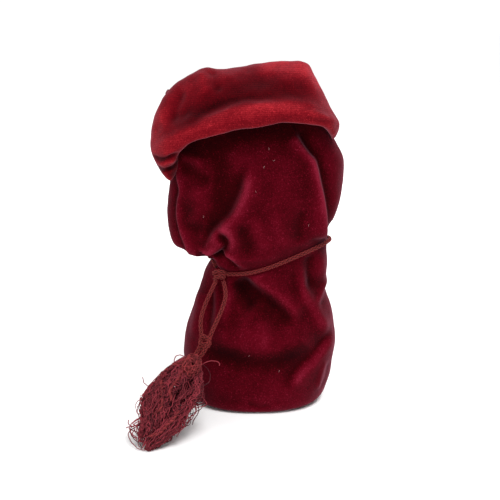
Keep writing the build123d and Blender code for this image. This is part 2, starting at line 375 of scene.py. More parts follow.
def ring_grid(rings):
    rings = np.asarray(rings, float)
    x0, x1, ym, front, back, zl, zf, zr, zb = rings.T
    middle = (x0 + x1) / 2
    lines = [
        np.stack([x0, ym, zl], axis=1), np.stack([x1, ym, zr], axis=1),
        np.stack([middle, ym - front, zf], axis=1), np.stack([middle, ym + back, zb], axis=1),
    ]
    steps = sum(np.linalg.norm(np.diff(line, axis=0), axis=1) for line in lines) / 4
    keys = np.concatenate([[0], np.cumsum(steps)])
    at = np.linspace(0, keys[-1], int(keys[-1] / GRID_SPACING))
    x0, x1, ym, front, back, zl, zf, zr, zb = (v[:, None] for v in through(keys, rings, at).T)
    angle = np.arange(RING_COLUMNS)[None, :] * 2 * math.pi / RING_COLUMNS
    c, s = np.cos(angle), np.sin(angle)
    square = 2 / 2.25
    cc, ss = np.sign(c) * np.abs(c) ** square, np.sign(s) * np.abs(s) ** square
    x = (x0 + x1) / 2 + (x1 - x0) / 2 * cc
    y = ym - np.where(s > 0, front, back) * ss
    level = (zl + zf + zr + zb) / 4
    z = level + (zr - zl) / 2 * c + (zf - zb) / 2 * s + (zl + zr - zf - zb) / 4 * np.cos(2 * angle)
    return np.stack([x, y, z + 0 * x], axis=-1)


def wrinkles(grid, normals, size, height, seed):
    """Soft random unevenness of cloth, seeded."""
    flat = grid.reshape(-1, 3) / size + seed * 17.3
    values = np.array([noise.noise(Vector(p)) for p in flat]).reshape(grid.shape[:2])
    return grid + normals * (values * height)[..., None]


def front_share(normals):
    """1 where the cloth faces the front, 0 where it faces the back."""
    return smooth_step(-blur(normals, 4, True)[..., 1], -0.15, 0.15)


def hold_in(grid):
    """The cord presses the cloth in, so that no cloth lies over it."""
    flat = grid.reshape(-1, 3)
    low, high = waist_line.min(0) - 6, waist_line.max(0) + 6
    near = np.where(((flat > low) & (flat < high)).all(1))[0]
    sparse = waist_line[::3]
    for part in np.array_split(near, max(1, len(near) // 4000)):
        gap = flat[part][:, None] - sparse[None]
        pick = np.argmin((gap ** 2).sum(-1), axis=1)
        rel = gap[np.arange(len(part)), pick]
        out = sparse[pick] - WAIST_CENTRE
        out[:, 2] = 0
        out = unit(out)
        height = (rel * out).sum(1)
        aside = np.linalg.norm(rel - height[:, None] * out, axis=1)
        limit = -0.75 + 0.62 * np.maximum(0, aside - 0.7) + 0.02 * aside ** 2
        over = np.where(aside < 7, np.maximum(0, height - limit), 0)
        flat[part] -= over[:, None] * out
    return flat.reshape(grid.shape)


def meet_cord(grid, row):
    """The rings near the waist are drawn in, so that the ring at this row lies just inside the cord."""
    rel = waist_line - WAIST_CENTRE
    turn = np.arctan2(rel[:, 1], rel[:, 0])
    out = unit(rel * [1, 1, 0])
    wanted = waist_line - 1.2 * out
    ring = grid[row] - WAIST_CENTRE
    at = np.arctan2(ring[:, 1], ring[:, 0])
    goal = np.stack([np.interp(at, turn, wanted[:, k], period=2 * math.pi) for k in range(3)], axis=1)
    shift = blur((goal - grid[row])[None], 6, True)[0]
    gap = np.abs(np.arange(len(grid)) - row) * GRID_SPACING
    return grid + np.exp(-(gap / 9.0) ** 2)[:, None, None] * shift, smooth_step(gap, 0.3, 5.0)


def fold_shade_and_highlight(grid, normals, wrap):
    """Painted shade and highlight from the cloth's shape: from 0, painted shade in the valleys, to 1, painted
    highlight on the crests.
    """
    fine = ((grid - blur(grid, 5, wrap)) * normals).sum(-1)
    broad = ((grid - blur(grid, 40, wrap)) * normals).sum(-1)
    return 0.4 + blur(fine, 3, wrap) * 0.5 + broad * 0.12


def draped(rings, waist_row, end_fade, front, back, waves):
    """One half of the pouch: rings, drawn in at the cord, with its folds and its unevenness."""
    grid = ring_grid(rings)
    grid, waist_fade = meet_cord(grid, waist_row % len(grid))
    normals = grid_normals(grid, True)
    share = front_share(normals)
    flat = grid[..., [0, 2]].reshape(-1, 2)
    front_rise, back_rise = (folds(flat, table).reshape(share.shape) for table in (front, back))
    rise = front_rise * share + back_rise * (1 - share)
    fade = end_fade(grid[..., 2]) * waist_fade[:, None]
    grid = grid + normals * (rise * fade)[..., None]
    for size, height, seed in waves:
        grid = wrinkles(grid, normals * fade[..., None], size, height, seed)
    return hold_in(grid)


# A fold's line is in (x, z). A ridge's values are its height and width, a lip's are its height, edge and
# reach. One more value, if there is one, is the share of its length in which it fades out at each end.
LOWER_FRONT_FOLDS = [
    (lip, [(-1.6, 62.5), (3.2, 57.2), (7.6, 53.8), (12.4, 50.6), (17, 46.2), (22, 40)], 2.3, 1.7, 8.5, 0.2),
    (ridge, [(24.2, 66), (24.4, 57), (25.2, 52), (28, 47.6), (31.4, 42), (34.4, 35.4), (36, 30)], 2.1, 2.6),
    (ridge, [(28.2, 72), (27.8, 66), (27.6, 59.5), (28.6, 53)], -2, 3),
    (ridge, [(36, 58.5), (32.6, 51.6), (29.4, 45.6)], 1.2, 1.6, 0.35),
    (ridge, [(32.4, 73), (32.8, 64), (34.6, 55), (36, 48)], 0.9, 2.6, 0.4),
    (lip, [(18.6, 10.6), (20.4, 15.6), (23.2, 18.8), (28, 22.4), (32.2, 26.6), (35.6, 30.8), (38.6, 35.2)],
     -1.7, 1.4, 6, 0.22),
    (lip, [(-20, 30.8), (-12, 29.4), (-4.6, 28), (3, 26.6), (11.6, 26.8), (20.6, 28.8), (29.5, 31)], 1.6,
     3.8, 9.5, 0.2),
    (ridge, [(-6, 40), (1.4, 37), (12, 37.5)], 1.5, 6.5, 0.3),
    (ridge, [(-8.6, 61), (-7.2, 53), (-9.4, 46), (-10.2, 38)], 1.5, 2.2),
    (ridge, [(-4, 60), (-1, 52), (4, 46)], -2, 4),
    (ridge, [(-13.4, 57), (-13, 46), (-13.2, 36)], 0.7, 1.3),
    (ridge, [(-16.4, 56), (-16.2, 46), (-17.2, 34)], -0.8, 1.4),
    (ridge, [(-20.4, 52), (-22.4, 42), (-24.6, 31)], 0.8, 1.8),
    (ridge, [(34.6, 23), (32.6, 15), (31.4, 8)], 0.7, 1.4),
    (ridge, [(37.2, 21), (35.6, 13), (33, 6)], -0.6, 1.3),
    (ridge, [(0.6, 6), (3, 3.4), (8, 3.2), (11, 5)], -0.9, 1.6),
]
LOWER_BACK_FOLDS = [
    (ridge, [(-8, 68), (-10, 54), (-14, 40), (-15, 26)], 1.9, 3),
    (ridge, [(0, 70), (-1, 58), (-4, 44), (-2, 34)], -1.6, 2.6),
    (ridge, [(9, 72), (9, 56), (7, 42), (9, 24)], 2, 3.2),
    (ridge, [(18, 72), (20, 58), (24, 44), (30, 34)], -1.8, 2.6),
    (ridge, [(26, 72), (28, 60), (33, 48)], 1.6, 2.4),
    (lip, [(-18, 24), (-4, 20), (12, 21.5), (28, 27)], 1.3, 2.8, 7, 0.25),
]
UPPER_FRONT_FOLDS = [
    (lip, [(-25.6, 69), (-27.4, 74), (-29.6, 80), (-31, 87), (-30.6, 93), (-29.6, 98), (-30.8, 103),
     (-31.6, 109), (-31.4, 117)], -2, 1.2, 3.6, 0.08),
    (lip, [(2, 112), (-1.2, 103.8), (-2.6, 98.4), (-4.6, 93.7), (-7.2, 89), (-9.9, 86.3), (-12.6, 83.6),
     (-15.2, 80.9), (-17.3, 76.8), (-18.8, 70)], 2.2, 1.5, 7, 0.25),
    (ridge, [(-12.4, 124), (-12.6, 110), (-11.4, 100), (-11.6, 93), (-14.5, 87)], -2, 6),
    (ridge, [(-30, 108), (-25.6, 107.6), (-20.4, 104.6), (-15, 103)], -1, 3),
    (ridge, [(-29, 112), (-24, 112.6), (-18, 109.5)], 0.9, 2.2),
    (ridge, [(-16.4, 88), (-18.6, 82), (-20.4, 75)], 0.9, 1.8),
    (ridge, [(-24, 101), (-21, 92), (-23, 82)], 1.4, 4.6),
    (lip, [(-12.8, 82), (-10.6, 81.2), (-8.4, 79.4), (-7.6, 76.8), (-8.6, 74.2), (-10, 72.4), (-10.2, 71.2),
     (-6.8, 68.8), (-4, 65.8), (-1.6, 62.6)], 1.9, 0.9, 4.2, 0.1),
    (lip, [(-21, 68.8), (-17.6, 69.6), (-15, 70.8), (-12.4, 72.6), (-9.8, 74.6), (-8.2, 76.4)], 1.9, 0.8,
     3.6, 0.2),
    (ridge, [(-14.2, 68.4), (-12, 70.2), (-9.8, 71.8)], -2.4, 1.5, 0.3),
    (lip, [(21, 124), (24, 119), (27, 115), (29.6, 112.2), (30.8, 108.2), (32.2, 102.2), (33.6, 96.2),
     (34.6, 89.4), (35, 82.6), (35.4, 76.6)], -2.6, 1.4, 4.6, 0.06),
    (ridge, [(2.4, 90), (4.6, 81), (9, 72)], 0.7, 3.2),
    (ridge, [(-2.6, 86), (-0.4, 78), (4, 70)], -0.8, 3),
    (ridge, [(12, 92), (14, 82), (18, 73)], 0.8, 3.6),
    (ridge, [(24, 92), (23, 83), (24, 75)], -1, 3),
    (ridge, [(31, 96), (30.4, 86), (29.6, 77)], 0.8, 2.4),
]
UPPER_BACK_FOLDS = [
    (ridge, [(-10, 70), (-14, 84), (-20, 98), (-21, 114)], 1.9, 3.4),
    (ridge, [(-2, 70), (-4, 84), (-8, 100), (-8, 116)], -2, 3.2),
    (ridge, [(8, 70), (7, 86), (5, 104)], 1.8, 3.4),
    (ridge, [(17, 72), (19, 88), (18, 106)], -1.8, 3),
    (ridge, [(25, 74), (28, 90), (29, 108)], 1.8, 3),
]

# the lower half, from the base up to the cord
lower = draped(
    LOWER_RINGS, -1, lambda z: smooth_step(z, 0.4, 5.0), LOWER_FRONT_FOLDS, LOWER_BACK_FOLDS,
    ((14.0, 0.7, 1), (4.6, 0.16, 2)))
lower[..., 2] = np.maximum(lower[..., 2], 0.02)

# the upper half, from the cord up to the fold's crest
upper = draped(
    UPPER_RINGS, 0, lambda z: smooth_step(146.0 - z, 0, 10), UPPER_FRONT_FOLDS, UPPER_BACK_FOLDS,
    ((15.0, 0.7, 3), (4.8, 0.16, 4)))


def painted_shade_and_highlight(grid, wrap, strokes):
    """Painted shade and highlight from the folds, with strokes of more painted shade and highlight: line,
    strength, width.
    """
    facing = smooth_step(-grid_normals(grid, wrap)[..., 1], -0.6, 0.5)
    flat = grid[..., [0, 2]].reshape(-1, 2)
    total = sum(ridge(flat, line, strength, width, 0.2) for line, strength, width in strokes)
    return fold_shade_and_highlight(grid, grid_normals(grid, wrap), wrap) + total.reshape(facing.shape) * facing


def velvet_piece(name, grid, strokes, wrap, thickness):
    holder = mesh_object(name, grid.reshape(-1, 3), grid_faces(*grid.shape[:2], wrap))
    # the tone holds painted shade and painted highlight
    paint(holder, "tone", painted_shade_and_highlight(grid, wrap, strokes))
    return wall(holder, thickness)


# Strokes of painted light on the lower half: painted shadow in the band under the bulge and below the cord,
# and painted highlights along fold crests.
LOWER_PAINTED_LIGHT = [
    ([(-22, 29), (-12, 27), (-4, 24.8), (8, 24), (18, 25.4), (29, 30)], -0.21, 4.4),
    ([(14, 28), (20, 28.4), (27, 31.5)], -0.14, 4.4),
    ([(-14, 29), (-8, 27.6), (-2, 27)], -0.1, 3),
    ([(-4.6, 61), (-1, 53), (6, 46.5), (13, 42)], -0.18, 5.5),
    ([(-10, 56), (-8.8, 50), (-9.6, 44)], 0.12, 1.6),
    ([(24, 60), (25.2, 52), (30, 44), (34.4, 35)], 0.12, 1.6),
    ([(-4, 36), (6, 33.6), (16, 36)], 0.07, 4.5),
    ([(19.6, 13), (24, 19.4), (32, 26.4), (37, 33)], 0.14, 1.8),
    ([(2, 8), (16, 7), (28, 9)], 0.06, 5),
]
# Strokes of painted light on the upper half: painted shadow under the flap's edge, painted shade beside the
# diagonal fold and on the left lobe, and painted highlights along fold crests.
UPPER_PAINTED_LIGHT = [
    ([(-33, 112), (-24, 115.6), (-12, 121), (6, 125), (22, 126), (32, 123)], -0.3, 5),
    ([(-9, 116), (-10.6, 104), (-11.6, 93), (-16, 86), (-20, 80)], -0.14, 4),
    ([(1, 108), (-2.4, 98.4), (-4.4, 93.9), (-7, 89.2), (-12.2, 84), (-15, 81.2), (-17.6, 76)], 0.04, 1.2),
    ([(-26, 100), (-24, 90), (-22, 80)], -0.1, 7),
    ([(27, 114.6), (30, 109.6), (32.4, 101), (34, 91), (34.8, 80)], 0.08, 1.4),
    ([(-9.4, 80.2), (-8, 77), (-9, 73.6), (-8.8, 70.6), (-5, 67.6)], 0.1, 1.2),
    ([(6, 88), (9, 80), (12, 72)], 0.06, 4),
    ([(20, 88), (22, 78)], -0.06, 4),
]
lower_velvet = velvet_piece("pouch_lower_velvet", lower, LOWER_PAINTED_LIGHT, True, VELVET_WALL)
upper_velvet = velvet_piece("pouch_upper_velvet", upper, UPPER_PAINTED_LIGHT, True, VELVET_WALL)


# ---- the flap

FLAP_ACROSS = 0.55
FLAP_DOWN = 0.6
MIDDLE_COLUMN = 7
FRONT_POINT = 6
# Columns run from the flap's left end to its right end. The twelve points of each column run from behind the
# crest, over it, down the front, round the hem and up inside.
FLAP_COLUMNS = [
    [(-29, 4.4, 122), (-28.4, 4, 130), (-27.8, 3, 135), (-28.4, 3, 132.6), (-29, 3.2, 129),
     (-29.6, 3.4, 125.6), (-30.2, 3.4, 122), (-30.4, 3.2, 119), (-30, 3, 117), (-29.4, 3, 117),
     (-28.6, 3, 120), (-28, 3, 124)],
    [(-28, 5, 122), (-29.2, 4.8, 131), (-31, 3.8, 138), (-33.4, 3.6, 133.6), (-35.4, 3.8, 128),
     (-36.6, 3.8, 122.6), (-36.8, 3.6, 117.6), (-35.8, 3.4, 113.2), (-33.6, 3.2, 110.4), (-31.8, 2.8, 109.6),
     (-30.2, 2.6, 112.6), (-29.8, 2.6, 118)],
    [(-27, 5.4, 122), (-28.8, 5, 131.5), (-34.2, 2.2, 139.4), (-37, 0.8, 134), (-39, 0, 128.4),
     (-40.4, -0.6, 122.6), (-40.5, -1, 117), (-38.8, -1.4, 111.2), (-35.8, -1.6, 106.2), (-33.4, -2, 104.4),
     (-31, -2.4, 108.6), (-30.6, -2, 117)],
    [(-26, 7, 123), (-28, 5.6, 132.5), (-34.6, 0, 140.4), (-37.2, -4, 136), (-39.6, -6.4, 129.4),
     (-41.4, -8, 123), (-42.1, -9, 118), (-40.6, -10, 112), (-36.8, -10.8, 105.4), (-33.4, -10.8, 102.4),
     (-30.4, -9.6, 107), (-29.8, -8, 119)],
    [(-23, 9, 124), (-24.8, 6.8, 136), (-29.4, 0, 145.6), (-31.8, -6, 141), (-33.6, -10.2, 134.8),
     (-34.6, -13.4, 128.4), (-35.6, -16.6, 123.6), (-36, -19, 118.4), (-34.6, -18.8, 113.4),
     (-31.8, -15.8, 111), (-29.6, -12.4, 117), (-28.6, -10.4, 128)],
    [(-18, 10.6, 125), (-19, 10.4, 139), (-19.4, 0, 150.7), (-22.2, -7, 146), (-24.4, -11.6, 140),
     (-25.6, -15.6, 132.8), (-26.4, -20.4, 129), (-26.8, -24, 124.4), (-26.2, -23, 120), (-25, -19, 119.6),
     (-24.4, -15.6, 125), (-22.6, -12.4, 134)],
    [(-11, 11.4, 125), (-11, 11, 140), (-12.4, 0.4, 150.3), (-12.6, -7.6, 147.6), (-12.6, -12.8, 143),
     (-12.8, -17.6, 137), (-13, -22.6, 133.2), (-13, -25.8, 128.6), (-13, -24.8, 124.8), (-13, -20.4, 124.4),
     (-13, -17, 129.5), (-12.4, -13.6, 138)],
    [(4, 11.8, 126), (4, 11.2, 141), (4, 1, 152), (4, -8, 149.2), (4, -13.4, 145.4), (4, -18.6, 140.8),
     (4, -24, 136.6), (4, -26.8, 131.4), (4, -25.4, 127.8), (4, -21, 127.4), (4, -17.4, 132),
     (4, -13.6, 140)],
    [(17, 11, 127), (18, 10.4, 142), (18.6, 0.6, 153.8), (18.4, -7.8, 150.4), (18.2, -12.8, 146.2),
     (18.2, -17.4, 141.4), (18.4, -22.6, 137.6), (18.6, -25.4, 133.4), (18.4, -24, 129.8), (18, -20, 129.6),
     (17.6, -16.6, 134), (17, -12.8, 142)],
    [(21, 9, 128), (22, 6.8, 142), (24.4, -0.6, 153.5), (26.8, -6.4, 149.4), (29.2, -10.8, 143.4),
     (31.4, -14, 138), (33, -17.4, 133.6), (34.4, -19.4, 130.6), (34, -18.6, 127.2), (32.6, -15.4, 127),
     (31, -12, 132), (28, -9, 139.6)],
    [(23, 7.4, 128), (24.6, 5.2, 141), (27.2, 1.4, 151), (30, -1.4, 146), (33.2, -3, 139.6), (35.8, -4, 134),
     (38.5, -5, 129.2), (40, -6, 124.6), (38.6, -6.2, 120.6), (36.8, -5.6, 120.2), (35, -4.4, 126),
     (31.4, -3, 135)],
    [(26, 6, 127), (26, 5, 138), (27, 4, 147), (29.4, 3.6, 143), (31.6, 3.6, 137.4), (33.4, 3.2, 132),
     (35, 2.8, 127), (36.2, 2.2, 122), (36, 1.8, 118.8), (34.8, 1.6, 118.6), (33.2, 1.6, 124),
     (31, 1.8, 132)],
    [(27.6, 5.4, 127), (25.2, 4.4, 136), (24, 3, 142.6), (24.6, 2.8, 140.6), (26, 3.4, 136.6),
     (27.4, 4.2, 132.6), (28.8, 4.8, 129), (30, 5.2, 126), (30.8, 5.2, 123.4), (30.4, 4.8, 122),
     (29.4, 4, 124.6), (28, 3.6, 132)],
]
FLAP_FOLDS = [
    (ridge, [(-28.6, 116.6), (-33, 114.2), (-38, 112.6), (-43, 114.4)], -1.3, 0.8, 0.3),
    (ridge, [(-29, 113.8), (-34, 111.4), (-40, 110.6)], 0.7, 1, 0.3),
    (ridge, [(-29, 110.8), (-33, 108.6), (-37, 107.8), (-42, 109.4)], -1.1, 0.8, 0.3),
    (ridge, [(-31, 142), (-35, 132), (-36.6, 124)], 0.8, 2.4),
    (ridge, [(-27.5, 143), (-31, 134), (-32, 127)], -1.2, 2.4),
    (ridge, [(-15, 151), (-14, 146), (-11, 141)], -0.9, 2.2),
    (ridge, [(-20, 150), (-19, 145), (-17, 140)], 0.8, 2.4),
    (ridge, [(24, 131.6), (30, 130), (36, 128.6)], -0.5, 0.7),
    (ridge, [(-28, 126.4), (-20, 132), (-8, 137.4), (6, 139.6), (20, 139.2)], -0.9, 1.8),
]
# Strokes of painted light on the flap: painted shade in its trough, along the hem band's upper edge, in the
# creases at its left end and under it; painted highlights on its top, its ends and its hem band.
FLAP_PAINTED_LIGHT = [
    ([(-34, 122), (-26, 128.5), (-15, 136), (-3, 142), (10, 144.6), (22, 143.4), (31, 136.6)], -0.24, 5),
    ([(2, 150.6), (16, 151.6), (28, 149), (33, 141)], 0.36, 5.2),
    ([(30, 146), (34, 138), (38, 130)], 0.16, 3),
    ([(-35, 137), (-39, 128), (-41, 118), (-39, 111)], 0.17, 5.6),
    ([(-36, 117), (-26, 124.8), (-12, 131.6), (6, 135.4), (20, 136.2), (34, 132)], 0.19, 3.2),
    ([(-30, 125.4), (-22, 131.2), (-10, 136.6), (4, 139.2), (18, 139.4), (32, 136.4)], -0.12, 2),
    ([(-26, 126), (-12, 133.4), (4, 136.6), (18, 137), (32, 133.4)], 0.1, 1.4),
    ([(-36, 137), (-28, 142.5), (-16, 148), (4, 150)], 0.1, 2.8),
    ([(-28.6, 116.6), (-33, 114.2), (-38, 112.6), (-42, 114)], -0.34, 0.9),
    ([(-29, 110.8), (-33, 108.6), (-37, 107.8), (-41, 109)], -0.34, 0.9),
    ([(-29, 104), (-32, 106), (-35, 105.6)], -0.3, 1.6),
]

columns = np.array(FLAP_COLUMNS, float)
row_keys = distances(columns[MIDDLE_COLUMN])
column_keys = distances(columns[:, FRONT_POINT])
by_row = through(column_keys, columns, np.linspace(0, column_keys[-1], int(column_keys[-1] / FLAP_ACROSS)))
rows_at = np.linspace(0, row_keys[-1], int(row_keys[-1] / FLAP_DOWN))
flap = through(row_keys, by_row.transpose(1, 0, 2), rows_at)
normals = grid_normals(flap, False)
facing = smooth_step(-normals[..., 1], 0.0, 0.3)
rise = folds(flap[..., [0, 2]].reshape(-1, 2), FLAP_FOLDS)
flap = flap + normals * (rise.reshape(facing.shape) * facing)[..., None]
# the cloth is uneven but for its two ends, which lie smooth against the pouch
to_end = np.minimum(np.arange(flap.shape[1]), np.arange(flap.shape[1])[::-1]) * FLAP_ACROSS
loose = smooth_step(to_end, 2.0, 10.0)[None, :, None]
flap = wrinkles(flap, normals * loose, 13.0, 1.0, 5)
flap = wrinkles(flap, normals * loose, 4.2, 0.22, 6)
flap = flap * loose + blur(flap, 16, False) * (1 - loose)
flap_velvet = velvet_piece("flap_velvet", flap, FLAP_PAINTED_LIGHT, False, FLAP_WALL)
paint(flap_velvet, "turned", 1 - smooth_step(flap[..., 1], -1.0, 8.0))


# ---- cord, knots and tassel

waist_cord = braid("waist_cord_braid", waist_line)
left_tail = braid("left_tail_braid", left_line)
right_tail = braid("right_tail_braid", right_line)

KNOT_AT = np.array([-12.0, -14.6, 61.6])
KNOT_LOOP = [
    (2.8, -0.6, 0.2), (1.4, -2.2, 1.5), (-1.2, -2.2, 1.8), (-2.7, -0.4, 0.6), (-1.8, 1.2, -1.2),
    (0.6, 0.6, -2), (2.2, -1.2, -1.4), (1.2, -2.6, 0), (-1, -2.6, -0.6), (-2.4, -1.4, -1.8),
    (-1.6, -0.8, -2.8),
]
waist_knot = braid("waist_knot_braid", centreline(KNOT_AT + np.array(KNOT_LOOP)))
TAIL_KNOT_AT = np.array([-18.2, -27.0, 34.2])
TAIL_KNOT_LOOP = [
    (-1.6, 0.6, 2.8), (0.8, -0.8, 2.4), (2.2, -1.2, 1), (0.8, -1.8, -0.6), (-1.6, -1.2, -0.8),
    (-2.4, 0.4, 0.4), (-0.8, 1.4, 1.4), (1.6, 0.8, 0.6), (2.2, -0.8, -0.8), (0.6, -2, -1.8),
    (-1.6, -1.4, -2.6), (-2.2, 0, -3),
]
tail_knot = braid("tail_knot_braid", centreline(TAIL_KNOT_AT + np.array(TAIL_KNOT_LOOP)))

HEAD_TOP = np.array([-23.0, -32.0, 28.8])
SKIRT_TIP = np.array([-40.6, -66.0, 2.4])
axis = unit(SKIRT_TIP - HEAD_TOP)
across = unit(np.cross(axis, [0.0, 0.0, 1.0]))
above = np.cross(across, axis)
reach = np.linalg.norm(SKIRT_TIP - HEAD_TOP)
GOLDEN_ANGLE = 2.399963
# share of the way to the tip, width to the left, width to the right, half thickness
TASSEL_PROFILE = np.array([
    (0.0, 3.0, 3.0, 2.4), (0.06, 4.8, 4.8, 4.2), (0.14, 6.6, 7.0, 5.6), (0.26, 8.6, 9.8, 6.8),
    (0.4, 10.6, 11.8, 7.6), (0.5, 11.8, 11.6, 7.6), (0.6, 11.8, 10.8, 7.2), (0.7, 10.0, 9.4, 6.4),
    (0.8, 8.2, 8.8, 5.4), (0.88, 7.2, 7.2, 4.4), (0.96, 5.4, 4.8, 3.2), (1.04, 3.4, 2.4, 2.0),
    (1.12, 1.4, 1.0, 1.0),
])


def tassel_sizes(share):
    """The tassel's width to the left and to the right and its half thickness, at shares of its length."""
    at = np.clip(share, 0, TASSEL_PROFILE[-1, 0])
    return through(TASSEL_PROFILE[:, 0], TASSEL_PROFILE[:, 1:], at.ravel()).reshape(share.shape + (3,))


def tassel_point(share, angle, out):
    """Points in the tassel: share of its length, angle round it, and share of the way out to its outline."""
    wide = tassel_sizes(share)
    width = np.where(np.cos(angle) > 0, wide[..., 0], wide[..., 1])
    return (
        HEAD_TOP + axis * (share * reach)[..., None]
        + across * (width * out * np.cos(angle))[..., None]
        + above * (wide[..., 2] * out * np.sin(angle))[..., None]
    )


def crinkle(paths, radius, curl, waves, gen):
    """The yarns' own small waves, left from when they were plied."""
    steps = np.linalg.norm(np.diff(paths, axis=1), axis=2)
    along = np.concatenate([np.zeros((len(paths), 1)), np.cumsum(steps, axis=1)], axis=1)
    low, high = waves
    size = curl * (0.5 + gen.random((len(paths), 1))) * smooth_step(along, 0.0, 6.0)
    for direction in (across, above, axis):
        wavelength = low + (high - low) * gen.random((len(paths), 1))
        phase = 2 * math.pi * (along / wavelength + gen.random((len(paths), 1)))
        wobble = np.sin(phase + 0.9 * np.sin(phase * 0.37)) + 0.4 * np.sin(phase * 1.9)
        paths = paths + direction * (wobble * size)[..., None]
    paths[..., 2] = np.maximum(paths[..., 2], radius + 0.05)
    return paths


def locks(count, each, first, last, points, radius, curl, waves, out_range, spread, seed):
    """Yarns in locks, side by side in each, that run from one share of the tassel's length to another."""
    gen = np.random.default_rng(seed)
    u = np.linspace(0, 1, points)[None, :]

    def one_per_lock(low, high):
        return np.repeat(low + (high - low) * gen.random((count, 1)), each, axis=0)

    total = count * each
    a = one_per_lock(*first) + 0.02 * gen.random((total, 1))
    b = one_per_lock(*last) + 0.12 * (gen.random((total, 1)) - 0.5)
    share = a + (b - a) * u
    angle = np.repeat((np.arange(count)[:, None] + 0.6 * gen.random((count, 1))) * GOLDEN_ANGLE, each, axis=0)
    angle = angle + one_per_lock(-0.5, 0.5) * u
    angle = angle + 0.22 * np.sin(2 * math.pi * (one_per_lock(0.6, 1.6) * u + one_per_lock(0, 1)))
    out = one_per_lock(*out_range)
    out = out + 0.05 * np.sin(2 * math.pi * (one_per_lock(0.8, 2.0) * u + one_per_lock(0, 1)))
    apart = spread * (0.35 + 0.9 * u)
    angle = angle + (gen.random((total, 1)) - 0.5) * 2 * apart
    bends, phase = 1 + 2 * gen.random((total, 1)), gen.random((total, 1))
    angle = angle + 0.1 * np.sin(2 * math.pi * (bends * u + phase))
    out = out + (gen.random((total, 1)) - 0.5) * apart
    return crinkle(tassel_point(share, angle, np.clip(out, 0.1, 1.06)), radius, curl, waves, gen)


def yarn_piece(name, paths, radius, sides, seed):
    """Threads in one piece, each in a tone of its own."""
    gen = np.random.default_rng(seed)
    holder = tubes(name, paths, radius, sides)
    paint(holder, "tone", np.repeat(gen.random(len(paths)) * 0.8 + 0.1, paths.shape[1] * sides))
    return holder


inner_threads = locks(
    count=44, each=4, first=(0.06, 0.14), last=(0.7, 1.02), points=64, radius=0.18, curl=0.26,
    waves=(2.6, 5.0), out_range=(0.25, 0.8), spread=0.34, seed=21)
outer_yarns = locks(
    count=38, each=6, first=(0.04, 0.12), last=(0.66, 1.03), points=84, radius=0.24, curl=0.4,
    waves=(2.2, 4.6), out_range=(0.8, 1.0), spread=0.15, seed=23)
skirt_inner = yarn_piece("tassel_skirt_threads", inner_threads, 0.2, 4, 22)
skirt_outer = yarn_piece("tassel_skirt_yarns", outer_yarns, 0.25, 4, 24)


def loops(count, seed):
    """Yarns that leave the tassel's outline and come back to it."""
    gen = np.random.default_rng(seed)
    u = np.linspace(0, 1, 60)[None, :]
    share = 0.16 + 0.7 * gen.random((count, 1)) + (0.1 + 0.16 * gen.random((count, 1))) * u
    share = np.minimum(share, 1.04)
    angle = gen.random((count, 1)) * 2 * math.pi + (gen.random((count, 1)) - 0.5) * 0.7 * u
    out = 0.92 + (0.1 + 0.3 * gen.random((count, 1))) * np.sin(math.pi * u)
    return crinkle(tassel_point(share, angle, out), 0.18, 0.14, (2.5, 5.0), gen)


skirt_loops = yarn_piece("tassel_skirt_loops", loops(120, 34), 0.17, 4, 35)

# plied yarns that have not come apart, laid over the others: share of the way to the tip, then millimetres to
# the left
ROPES = [
    [(0.16, -1.4), (0.2, 1.8), (0.24, 5.2), (0.3, 6.2), (0.38, 5.2), (0.47, 2.6), (0.57, 0), (0.65, -1.6),
     (0.71, -1.7), (0.76, 0.4)],
    [(0.22, -3.6), (0.3, -2.6), (0.37, -3.2), (0.45, -2.2), (0.52, -2.4), (0.6, -4.6)],
    [(0.66, -8), (0.75, -7.6), (0.83, -6), (0.9, -4.8), (0.96, -1)],
]
ROPE_POINTS = 90
ROPE_TWIST = 0.55
ROPE_PLIES = 3
rope_paths = []
for row in ROPES:
    share, aside = resampled(row, ROPE_POINTS).T
    line = rounded(np.stack([share * reach, aside], axis=1), 0.4)
    share, aside = resampled(line, ROPE_POINTS).T
    share = share / reach
    wide = tassel_sizes(share)
    side = np.where(aside > 0, wide[:, 0], wide[:, 1])
    angle = np.arccos(np.clip(aside / side, -0.97, 0.97))
    line = tassel_point(share, angle, np.full(ROPE_POINTS, 1.03))
    normal, other = frames(line)
    for k in range(ROPE_PLIES):
        turn = np.arange(ROPE_POINTS) * ROPE_TWIST + k * 2 * math.pi / ROPE_PLIES
        rope_paths.append(line + 0.34 * (normal * np.cos(turn)[:, None] + other * np.sin(turn)[:, None]))
rope_paths = crinkle(np.array(rope_paths), 0.3, 0.1, (3.0, 6.0), rng)
ropes = yarn_piece("tassel_plied_yarns", rope_paths, 0.29, 6, 36)


def head_wraps(count, seed):
    """The short yarns bunched in a lump over the tassel's head."""
    gen = np.random.default_rng(seed)
    u = np.linspace(0, 1, 40)[None, :, None]
    pole = unit(gen.normal(size=(count, 1, 3)))
    side = unit(np.cross(pole, gen.normal(size=(count, 1, 3))))
    turn = 2 * math.pi * (gen.random((count, 1, 1)) + (0.3 + 0.3 * gen.random((count, 1, 1))) * u)
    size = 2.9 + 1.2 * gen.random((count, 1, 1)) + 0.35 * np.sin(18 * u + 6 * gen.random((count, 1, 1)))
    ball = (side * np.cos(turn) + np.cross(pole, side) * np.sin(turn)) * size
    stretch = (ball @ axis)[..., None] * axis * 0.3
    return HEAD_TOP + axis * 8.4 + above * 5.6 - across * 4.6 + ball + stretch


head_yarn = yarn_piece("tassel_head_yarn", head_wraps(150, 25), 0.2, 5, 26)

BINDING_TURNS = 5
turns = np.linspace(0, BINDING_TURNS * 2 * math.pi, 200)
wraps = []
for shift in (0.0, 0.3):
    along = 3.6 + 0.6 * turns / (2 * math.pi) + shift
    around = across * np.cos(turns)[:, None] + above * np.sin(turns)[:, None]
    wraps.append(HEAD_TOP + axis * along[:, None] + 4.5 * around)
binding = yarn_piece("head_binding_yarn", np.array(wraps), 0.32, 6, 27)

